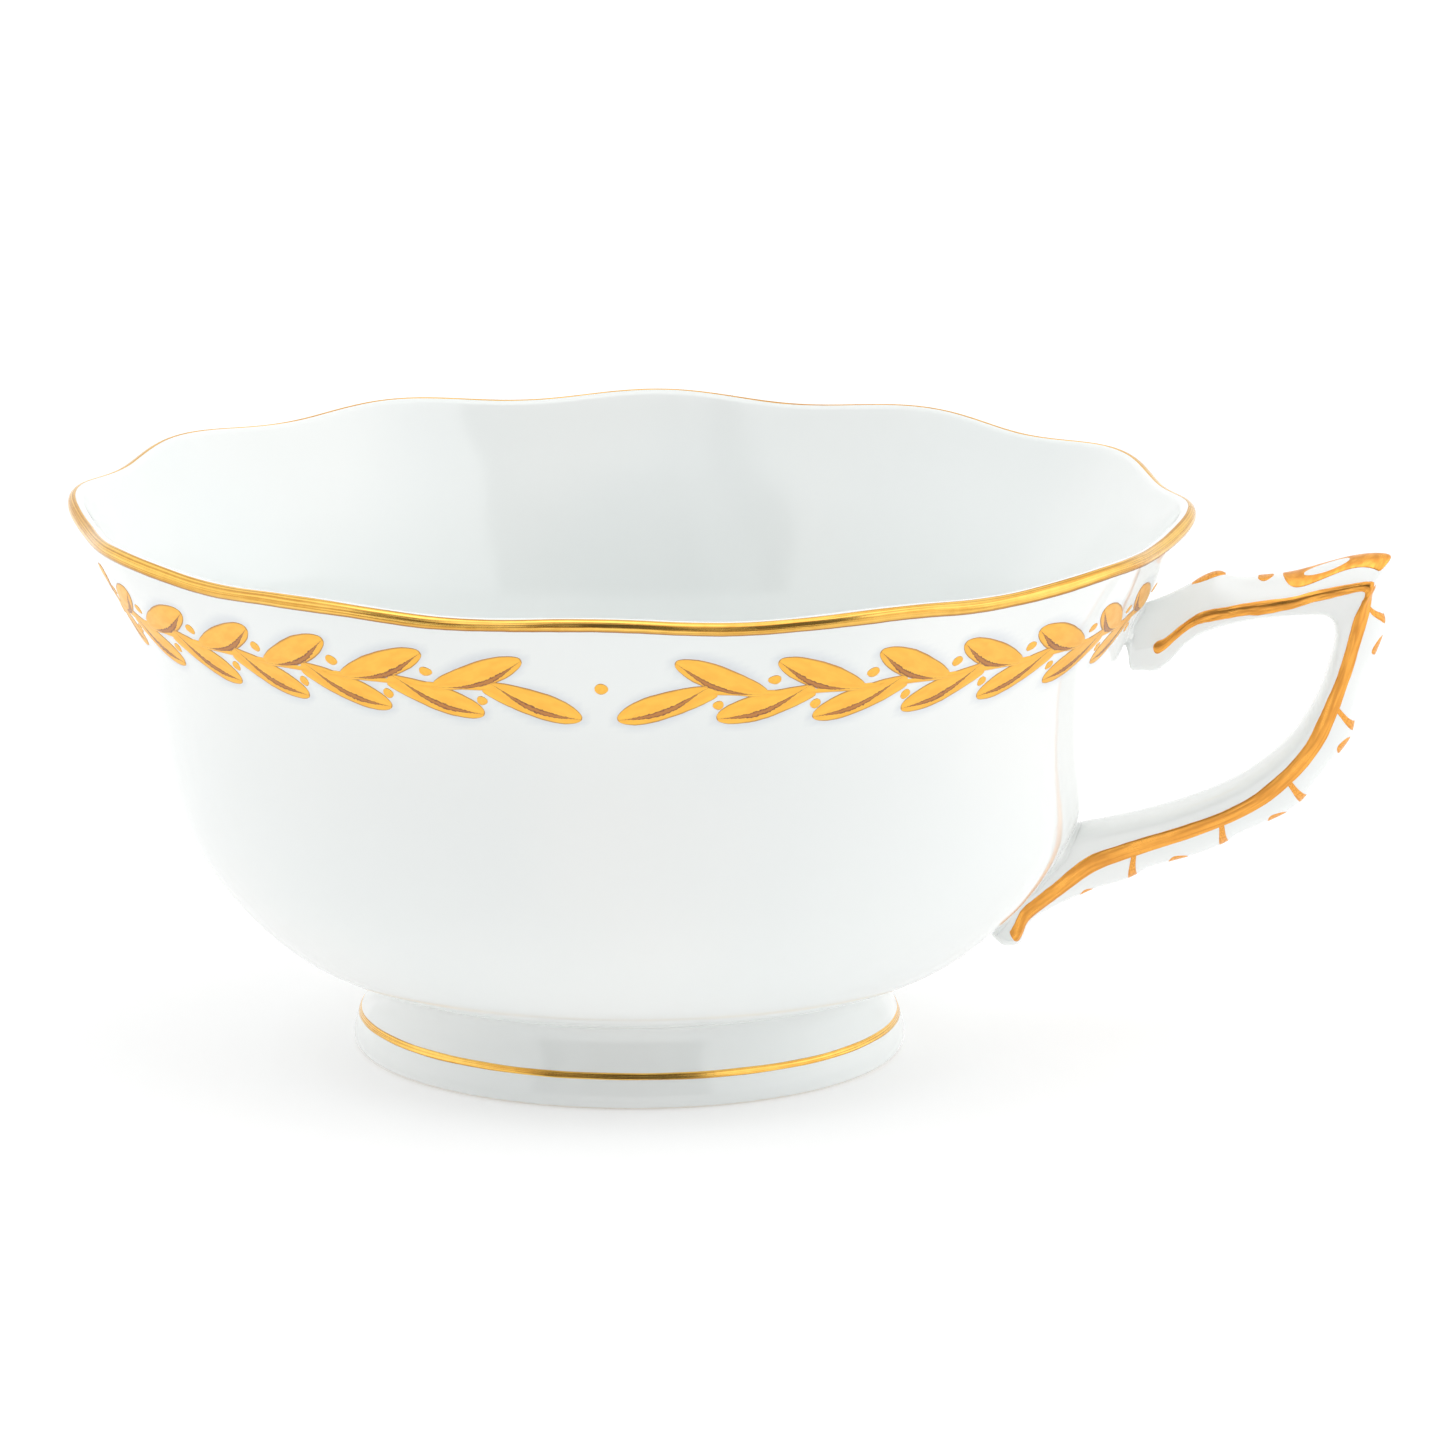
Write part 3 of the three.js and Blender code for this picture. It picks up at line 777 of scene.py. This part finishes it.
FOOT_OUTSIDE = smooth_curve(
    [
        (FOOT_RADIUS - 0.9, 0.0),
        (FOOT_RADIUS - 0.3, 0.2),
        (FOOT_RADIUS, 0.9),
        (FOOT_RADIUS - 0.12, 1.9),
        (FOOT_RADIUS - 0.7, 3.5),
        (FOOT_NECK + 0.42, 4.9),
        (FOOT_NECK - 0.02, 6.3),
        (FOOT_NECK + 0.1, 7.2),
        (FOOT_NECK + 0.9, 7.86),
    ],
    np.linspace(0, 1, 56),
)
FOOT_INNER = smooth_curve(
    [
        (20.6, BASE_HEIGHT + 0.02),
        (21.7, 6.85),
        (22.3, 6.0),
        (FOOT_INSIDE + 0.15, 4.0),
        (FOOT_INSIDE + 0.6, 1.2),
        (FOOT_INSIDE + 0.95, 0.3),
        (FOOT_INSIDE + 1.5, 0.0),
    ],
    np.linspace(0, 1, 30),
)
FOOT_TOP = np.array([(FOOT_NECK, FOOT_HEIGHT + 0.4), (21.4, FOOT_HEIGHT + 0.2)])


def foot_shape():
    profile = np.concatenate([FOOT_INNER, FOOT_OUTSIDE, FOOT_TOP])
    grid = turned(profile, BOWL_COLUMNS)
    return grid.reshape(-1, 3), grid_faces(BOWL_COLUMNS, len(profile), True, True), {}


def foot_line(t, q):
    """The gold line round the foot, of nearly even width."""
    angle = 2 * np.pi * t
    half = FOOT_LINE_WIDTH / 2 + 0.04 * waver(angle, 1.0 + np.sign(q), 2 * np.pi / 5)
    height = FOOT_LINE_HEIGHT + q * half + 0.03 * np.sin(2 * angle)
    radius = np.interp(height, FOOT_OUTSIDE[:, 1], FOOT_OUTSIDE[:, 0])
    points = round_axis(radius, angle, height)
    return points, points * np.array([1, 1, 0])


# ---- Rim band ------------------------------------------------------------------------------------

# The wall's profile over the lip by its length, with 0 at the middle of the lip.
RIM_BAND_OUTSIDE = 1.32
RIM_BAND_INSIDE = 0.30
LIP_STEPS = 41
OUTSIDE_STEPS = 11
LIP_WALK = np.concatenate([OUTSIDE[-OUTSIDE_STEPS - 1 : -1], lip_arc(LIP_STEPS), INSIDE[1:8]])
LIP_LENGTHS = np.concatenate([[0], np.cumsum(np.linalg.norm(np.diff(LIP_WALK, axis=0), axis=1))])
LIP_LENGTHS -= LIP_LENGTHS[OUTSIDE_STEPS + LIP_STEPS // 2]


def rim_band(t, q):
    """The gold band over the lip: its two edges lie at lengths down the outside and inside that waver
    with the brush."""
    angle = 2 * np.pi * t
    outer = RIM_BAND_OUTSIDE + 0.16 * waver(angle, 0.6, 2 * np.pi / 5)
    outer = outer + 0.03 * waver(angle, 4.0, 2 * np.pi / 31)
    inner = RIM_BAND_INSIDE + 0.24 * np.sin(angle) + 0.06 * waver(angle, 2.4, 2 * np.pi / 9)
    length = -outer + (inner + outer) * (q + 1) / 2
    radius = np.interp(length, LIP_LENGTHS, LIP_WALK[:, 0])
    height = np.interp(length, LIP_LENGTHS, LIP_WALK[:, 1])
    flat = round_axis(radius, angle, height)
    return scallop(flat), flat - round_axis(LIP_CENTRE[0], angle, LIP_CENTRE[1] - 1)


def rim_shape():
    """The band, with `edge` rising to 1 at its outer edge only."""
    points, faces, values = film(rim_band, 720, 21, ring=True)
    values["edge"] = np.clip(-values["across"], 0, 1)
    return points, faces, values


# ---- Bowl ----------------------------------------------------------------------------------------


def painted_gold_shadow(points):
    """How close the glaze is to the laurel, 1 at a leaf and 0 a millimetre off: the mask of the
    blue-grey painted shadow round the leaves.
    Every place is folded into one quarter of the drawing, and raised there by as much as its branch
    hangs lower."""
    angle = np.degrees(np.arctan2(np.abs(points[:, 1]), np.abs(points[:, 0])))
    height = points[:, 2] + branch_drop(points[:, 0], points[:, 1], 90 - angle)
    place = np.stack([(90 - angle) * MM_PER_DEGREE, height], -1)
    nearest = np.full(len(points), np.inf)
    for tip, base, belly, _ in laurel_leaves():
        run = base - tip
        t = np.clip((place - tip) @ run / (run @ run), 0, 1)
        apart = np.linalg.norm(place - tip - t[:, None] * run, axis=1)
        nearest = np.minimum(nearest, apart - belly * np.sin(np.pi * t**0.8) ** 0.7)
    outside = np.hypot(points[:, 0], points[:, 1]) > wall_radius(points[:, 2]) - 1.0
    return np.where(outside, 1 - smooth_step(-0.2, 1.0, nearest), 0.0)


def bowl_shape():
    profile = np.concatenate([UNDERSIDE, OUTSIDE, lip_arc(15)[1:-1], INSIDE])
    grid = scallop(turned(profile, BOWL_COLUMNS))
    points = grid.reshape(-1, 3)
    faces = grid_faces(BOWL_COLUMNS, len(profile), wrap_rows=True)
    # The bowl carries the mask of the painted shadow round the laurel.
    return points, faces, {"painted_gold_shadow": painted_gold_shadow(points)}


# ---- Finishes ------------------------------------------------------------------------------------


def connect(tree, made, values):
    """Gives a node links or values for its inputs, by name or number."""
    for key, value in values.items():
        if isinstance(value, bpy.types.NodeSocket):
            tree.links.new(value, made.inputs[key])
        else:
            made.inputs[key].default_value = value


def node(tree, kind, values=None, **settings):
    """A new node with its settings, and with links or values for its inputs by name or number."""
    made = tree.nodes.new(kind)
    for key, value in settings.items():
        setattr(made, key, value)
    connect(tree, made, values or {})
    return made


def noise(tree, place, scale, detail):
    values = {"Vector": place, "Scale": scale, "Detail": detail}
    return node(tree, "ShaderNodeTexNoise", values).outputs[0]


def attribute(tree, name):
    return node(tree, "ShaderNodeAttribute", attribute_name=name).outputs["Fac"]


def object_place(tree):
    return node(tree, "ShaderNodeTexCoord").outputs["Object"]


def maths(tree, operation, *values, clamp=False):
    made = node(tree, "ShaderNodeMath", dict(enumerate(values)), operation=operation, use_clamp=clamp)
    return made.outputs[0]


def blend_colour(tree, factor, first, second):
    values = {"Factor": factor, 6: first, 7: second}
    return node(tree, "ShaderNodeMix", values, data_type="RGBA").outputs[2]


def ramp(tree, value, low, high, to_low=0.0, to_high=1.0):
    values = {"Value": value, "From Min": low, "From Max": high, "To Min": to_low, "To Max": to_high}
    return node(tree, "ShaderNodeMapRange", values, interpolation_type="SMOOTHSTEP").outputs[0]


def new_group(name, inputs, outputs):
    """A node group with float inputs (name: default) and the named outputs, and its two end nodes."""
    tree = bpy.data.node_groups.new(name, "ShaderNodeTree")
    for socket, value in inputs.items():
        made = tree.interface.new_socket(socket, in_out="INPUT", socket_type="NodeSocketFloat")
        made.default_value = value
    for socket, kind in outputs.items():
        tree.interface.new_socket(socket, in_out="OUTPUT", socket_type=kind)
    return tree, tree.nodes.new("NodeGroupInput"), tree.nodes.new("NodeGroupOutput")


def glaze_surface_group():
    """Pooling and orange peel of a fired glaze: a slow wave and a fine one as Height, and a slow
    Tone for tint and gloss."""
    tree, given, result = new_group(
        "glaze_surface",
        {"Pooling": 1.0, "Peel": 0.12},
        {"Height": "NodeSocketFloat", "Tone": "NodeSocketFloat"},
    )
    place = object_place(tree)
    slow, fine = noise(tree, place, 34.0, 1.0), noise(tree, place, 620.0, 2.0)
    waves = maths(tree, "MULTIPLY", slow, given.outputs["Pooling"])
    peel = maths(tree, "MULTIPLY", fine, given.outputs["Peel"])
    connect(tree, result, {"Height": maths(tree, "ADD", waves, peel), "Tone": slow})
    return tree


def brushed_gold_group():
    """Marks of the gilder's brush and burnisher: Streak runs along the piece's own `along`, Mottle is
    small cloudy wear in the gold."""
    tree, given, result = new_group(
        "brushed_gold",
        {"Streaks Along": 40.0, "Streaks Across": 5.0},
        {"Streak": "NodeSocketFloat", "Mottle": "NodeSocketFloat"},
    )
    x = maths(tree, "MULTIPLY", attribute(tree, "along"), given.outputs["Streaks Along"])
    y = maths(tree, "MULTIPLY", attribute(tree, "across"), given.outputs["Streaks Across"])
    flat = node(tree, "ShaderNodeCombineXYZ", {"X": x, "Y": y}).outputs[0]
    mottle = noise(tree, object_place(tree), 900.0, 3.0)
    connect(tree, result, {"Streak": noise(tree, flat, 1.0, 3.0), "Mottle": mottle})
    return tree


GLAZE_SURFACE = glaze_surface_group()
BRUSHED_GOLD = brushed_gold_group()


def new_material(name):
    material = bpy.data.materials.new(name)
    material.use_nodes = True
    tree = material.node_tree
    return material, tree, tree.nodes["Principled BSDF"]


GLAZE_WHITE = (0.900, 0.918, 0.905, 1)
GLAZE_COOL = (0.870, 0.900, 0.892, 1)
# Colour and strength of the blue-grey painted shadow laid on the glaze round the laurel's gold.
PAINTED_SHADOW_BLUE = (0.62, 0.66, 0.72, 1)
PAINTED_SHADOW_STRENGTH = 0.6
GLAZE_IOR = 1.58
CLAY = (0.80, 0.76, 0.69, 1)


def glazed_porcelain(name, bare_below=None):
    """Clear glossy glaze over white porcelain. A slow tint pools in the glaze, a faint blue-grey painted
    shadow is laid round the laurel's gold, and below bare_below metres the contact ring is dry clay."""
    material, tree, shader = new_material(name)
    surface = node(tree, "ShaderNodeGroup", node_tree=GLAZE_SURFACE)
    tone = ramp(tree, surface.outputs["Tone"], 0.35, 0.65)
    colour = blend_colour(tree, tone, GLAZE_WHITE, GLAZE_COOL)
    # Painted shadow: blue-grey mixed into the glaze's colour next to the laurel's leaves.
    painted_shadow = maths(tree, "MULTIPLY", attribute(tree, "painted_gold_shadow"), PAINTED_SHADOW_STRENGTH)
    colour = blend_colour(tree, painted_shadow, colour, PAINTED_SHADOW_BLUE)
    roughness = ramp(tree, tone, 0.0, 1.0, 0.045, 0.075)
    if bare_below is not None:
        place = object_place(tree)
        height = node(tree, "ShaderNodeSeparateXYZ", {"Vector": place}).outputs["Z"]
        ragged = maths(tree, "MULTIPLY_ADD", noise(tree, place, 700.0, 4.0), 0.0003, height)
        dry = ramp(tree, ragged, bare_below, bare_below + 0.0002, 1.0, 0.0)
        colour = blend_colour(tree, dry, colour, CLAY)
        roughness = maths(tree, "MULTIPLY_ADD", dry, 0.55, roughness)
    relief = {"Height": surface.outputs["Height"], "Strength": 0.35, "Distance": 0.00012}
    bump = node(tree, "ShaderNodeBump", relief).outputs[0]
    finish = {"Base Color": colour, "Roughness": roughness, "Normal": bump, "IOR": GLAZE_IOR}
    connect(tree, shader, finish)
    return material


def gold(name, bright, deep, gloss, streaks, relief):
    """Fired gold. Streaks from the brush run along the piece and shift it between its bright and its
    deep colour and between its gloss and duller; where it is worn it is deeper and redder."""
    material, tree, shader = new_material(name)
    marks = node(tree, "ShaderNodeGroup", node_tree=BRUSHED_GOLD)
    connect(tree, marks, {"Streaks Along": streaks[0], "Streaks Across": streaks[1]})
    streak = ramp(tree, marks.outputs["Streak"], 0.34, 0.66)
    mottle = ramp(tree, marks.outputs["Mottle"], 0.3, 0.7)
    worn = maths(tree, "MULTIPLY_ADD", mottle, 0.14, maths(tree, "MULTIPLY", streak, 0.86))
    colour = blend_colour(tree, worn, bright, deep)
    roughness = maths(tree, "MULTIPLY_ADD", worn, gloss[1] - gloss[0], gloss[0])
    height = maths(tree, "MULTIPLY_ADD", mottle, 0.12, streak)
    bump = node(tree, "ShaderNodeBump", {"Height": height, "Strength": relief, "Distance": 0.00004})
    finish = {"Base Color": colour, "Roughness": roughness, "Metallic": 1.0}
    connect(tree, shader, {**finish, "Normal": bump.outputs[0]})
    return material


RIM_BRIGHT = (1.0, 0.64, 0.16, 1)
RIM_DEEP = (0.62, 0.30, 0.05, 1)
LEAF_BRIGHT = (1.0, 0.56, 0.10, 1)
LEAF_DEEP = (0.94, 0.50, 0.09, 1)
GOLD_EDGE = (0.34, 0.16, 0.08, 1)
STROKE_LIGHT = (0.50, 0.22, 0.08, 1)
STROKE_DARK = (0.20, 0.085, 0.075, 1)
LINE_BRIGHT = (0.98, 0.46, 0.09, 1)
LINE_DEEP = (0.74, 0.31, 0.06, 1)


def base_colour(material):
    return material.node_tree.nodes["Principled BSDF"].inputs["Base Color"]


def outlined(material, colour, start, strength):
    """Darkens the colour of a gold towards its `edge`, as fired gold does where it ends on the glaze."""
    tree = material.node_tree
    outline = ramp(tree, attribute(tree, "edge"), start, 1.0, 0.0, strength)
    tree.links.new(blend_colour(tree, outline, colour, GOLD_EDGE), base_colour(material))
    return material


def laurel_gold(name):
    """Flat satin gold of the leaves, with a thin dark outline, and a brown brush stroke on each leaf:
    ochre in its middle and dark at its ragged edges."""
    material = gold(name, LEAF_BRIGHT, LEAF_DEEP, (0.36, 0.44), (4.0, 1.5), 0.12)
    tree = material.node_tree
    base = base_colour(material).links[0].from_socket
    ragged = maths(tree, "MULTIPLY_ADD", noise(tree, object_place(tree), 3600.0, 5.0), 1.5, -0.75)
    inside = maths(tree, "ADD", maths(tree, "ABSOLUTE", attribute(tree, "stroke")), ragged)
    amount = ramp(tree, inside, 0.85, 1.1, 1.0, 0.0)
    rim_of_stroke = ramp(tree, inside, 0.35, 0.85)
    paint = blend_colour(tree, rim_of_stroke, STROKE_LIGHT, STROKE_DARK)
    colour = blend_colour(tree, maths(tree, "MULTIPLY", amount, 0.95), base, paint)
    return outlined(material, colour, 0.84, 0.8)


def rim_gold_with_brown_edge(name):
    """Burnished gold with the thin brown line of its lower edge, where the brush left less gold."""
    material = gold(name, RIM_BRIGHT, RIM_DEEP, (0.10, 0.22), (16.0, 5.0), 0.3)
    return outlined(material, base_colour(material).links[0].from_socket, 0.55, 1.0)


porcelain = glazed_porcelain("porcelain_glaze")
foot_porcelain = glazed_porcelain("porcelain_glaze_and_dry_foot", bare_below=0.0003)
rim_gold = rim_gold_with_brown_edge("burnished_rim_gold")
foot_gold = gold("burnished_foot_gold", RIM_BRIGHT, RIM_DEEP, (0.12, 0.24), (12.0, 3.0), 0.2)
line_gold = gold("handle_line_gold", LINE_BRIGHT, LINE_DEEP, (0.26, 0.40), (12.0, 2.2), 0.4)
leaf_gold = laurel_gold("laurel_gold")

# ---- Pieces --------------------------------------------------------------------------------------

make_piece("glazed_bowl", bowl_shape(), porcelain, ["bowl"])
make_piece("glazed_foot_ring", foot_shape(), foot_porcelain, ["foot_ring"])
make_piece("glazed_handle", handle_shape(), porcelain, ["handle"])
for root, sections, size in [("upper", (0.0, 9.0), 0.55), ("lower", (LAST_SECTION, 30.0), 0.9)]:
    fillet = slip_fillet(sections, size)
    make_piece(root + "_slip_fillet", fillet, porcelain, [root + "_slip_joint"])
make_piece("rim_gold_band", rim_shape(), rim_gold, ["rim_gilding"])
foot_film = film(foot_line, BOWL_COLUMNS, 9, ring=True)
make_piece("foot_gold_line", foot_film, foot_gold, ["foot_gilt_line"])
for face, side in {"front": -1, "back": 1}.items():
    lines = handle_gold(side)
    make_piece("handle_gold_" + face, lines, line_gold, ["handle_gilding_" + face])
thumb_gold = join([film(thumb_leaf, 60, 25), film(lump_stroke, 24, 7, 0.03)])
make_piece("thumb_rest_gold_leaf", thumb_gold, line_gold, ["thumb_rest_gilding"])
# A painted highlight: a white glazed oval laid over the thumb leaf's gold where it shows a bright
# reflection.
oval = film(thumb_highlight_oval, 30, 13, GOLD + 2 * GOLD_STEP)
make_piece("thumb_rest_painted_highlight", oval, porcelain)

for place_name, quarter in {
    "front_right": (1, -1),
    "front_left": (-1, -1),
    "back_right": (1, 1),
    "back_left": (-1, 1),
}.items():
    branch, replaced = laurel_shape(quarter), "laurel_branch_" + place_name
    make_piece("laurel_gold_" + place_name, branch, leaf_gold, [replaced])
for face, side in {"front": -1, "back": 1}.items():
    dot = film(wrapped(drop(DOT_CENTRE, 0.62, 0.5, 2), (1, side)), 16, 9)
    dot = without_stroke(dot)
    make_piece("laurel_gold_dot_" + face, dot, leaf_gold, ["laurel_dot_" + face])

# ---- Camera, floor and light ---------------------------------------------------------------------

CUP_TURN = math.radians(2.8)
CAMERA_RISE = math.radians(13.12)
CAMERA_ROLL = math.radians(0.3)
CAMERA_DISTANCE = 1.0
CAMERA_AIM = Vector((0.00885, 0.0, 0.0315))
SENSOR = 36.0
LENS = 259.15


def aim_camera():
    """A long lens, level with the lower rim, that sees the cup with its handle turned a little away."""
    turn = Matrix.Rotation(CUP_TURN, 3, "Z")
    forward = Vector((0, math.cos(CAMERA_RISE), -math.sin(CAMERA_RISE)))
    upright = Vector((0, math.sin(CAMERA_RISE), math.cos(CAMERA_RISE)))
    right = Vector((1, 0, 0)) * math.cos(CAMERA_ROLL) + upright * math.sin(CAMERA_ROLL)
    up = upright * math.cos(CAMERA_ROLL) - Vector((1, 0, 0)) * math.sin(CAMERA_ROLL)
    axes = Matrix([turn @ right, turn @ up, turn @ -forward]).transposed()
    place = Vector(AXIS) + turn @ (CAMERA_AIM - forward * CAMERA_DISTANCE)
    lens = bpy.data.cameras.new("camera")
    lens.sensor_width = SENSOR
    lens.lens = LENS
    camera = bpy.data.objects.new("camera", lens)
    camera.matrix_world = Matrix.Translation(place) @ axes.to_4x4()
    bpy.context.scene.collection.objects.link(camera)
    bpy.context.scene.camera = camera


FLOOR_HALF_WIDTH = 4.0
FLOOR_HEIGHT = -0.00002
FLOOR_FINISH = {
    "Base Color": (0.70, 0.70, 0.70, 1),
    "Roughness": 0.9,
    "Specular IOR Level": 0.1,
    "Emission Color": (1, 1, 1, 1),
    "Emission Strength": 0.33,
}


def pale_floor():
    """A wide pale floor just under the cup, with a faint glow of its own to lift the shadows."""
    mesh = bpy.data.meshes.new("floor")
    half = FLOOR_HALF_WIDTH
    corners = [(-half, -half), (half, -half), (half, half), (-half, half)]
    mesh.from_pydata([(x, y, FLOOR_HEIGHT) for x, y in corners], [], [(0, 1, 2, 3)])
    material, tree, shader = new_material("pale_floor")
    connect(tree, shader, FLOOR_FINISH)
    mesh.materials.append(material)
    floor = bpy.data.objects.new("floor", mesh)
    bpy.context.scene.collection.objects.link(floor)


# Brightness of the studio by the direction from the front, in degrees to the right. The gap in front,
# between two tall soft boxes, is dim.
STUDIO = [
    (-180, 1.08),
    (-140, 1.08),
    (-100, 1.25),
    (-39, 1.15),
    (-36, 0.08),
    (-30, 0.08),
    (-27, 0.46),
    (-18, 0.40),
    (-14, 0.12),
    (36, 0.18),
    (39, 1.38),
    (100, 1.68),
    (140, 1.08),
    (180, 1.08),
]
STUDIO_STRENGTH = 0.95


def soft_studio():
    """Light from all round: a ramp over the compass direction, and a ceiling that is bright towards
    the front and dimmer at the back."""
    world = bpy.data.worlds.new("studio")
    world.use_nodes = True
    bpy.context.scene.world = world
    tree = world.node_tree
    sky = tree.nodes["Background"]
    direction = node(tree, "ShaderNodeTexCoord").outputs["Generated"]
    axes = node(tree, "ShaderNodeSeparateXYZ", {"Vector": direction})
    turn = maths(tree, "ARCTAN2", axes.outputs["X"], maths(tree, "MULTIPLY", axes.outputs["Y"], -1.0))
    share = maths(tree, "MULTIPLY_ADD", turn, 0.5 / math.pi, 0.5)
    walls = node(tree, "ShaderNodeValToRGB", {"Fac": share})
    stops = walls.color_ramp.elements
    while len(stops) < len(STUDIO):
        stops.new(0.5)
    for stop, (degrees, brightness) in zip(stops, STUDIO):
        stop.position = degrees / 360 + 0.5
        stop.color = (brightness, brightness, brightness, 1)
    ceiling = ramp(tree, axes.outputs["Z"], 0.72, 0.95)
    overhead = ramp(tree, axes.outputs["Y"], -0.35, 0.45, 2.2, 0.9)
    grey = node(tree, "ShaderNodeCombineColor", {"Red": overhead, "Green": overhead, "Blue": overhead})
    colour = blend_colour(tree, ceiling, walls.outputs[0], grey.outputs[0])
    connect(tree, sky, {"Color": colour, "Strength": STUDIO_STRENGTH})


aim_camera()
pale_floor()
soft_studio()
bpy.context.scene.view_settings.view_transform = "Standard"
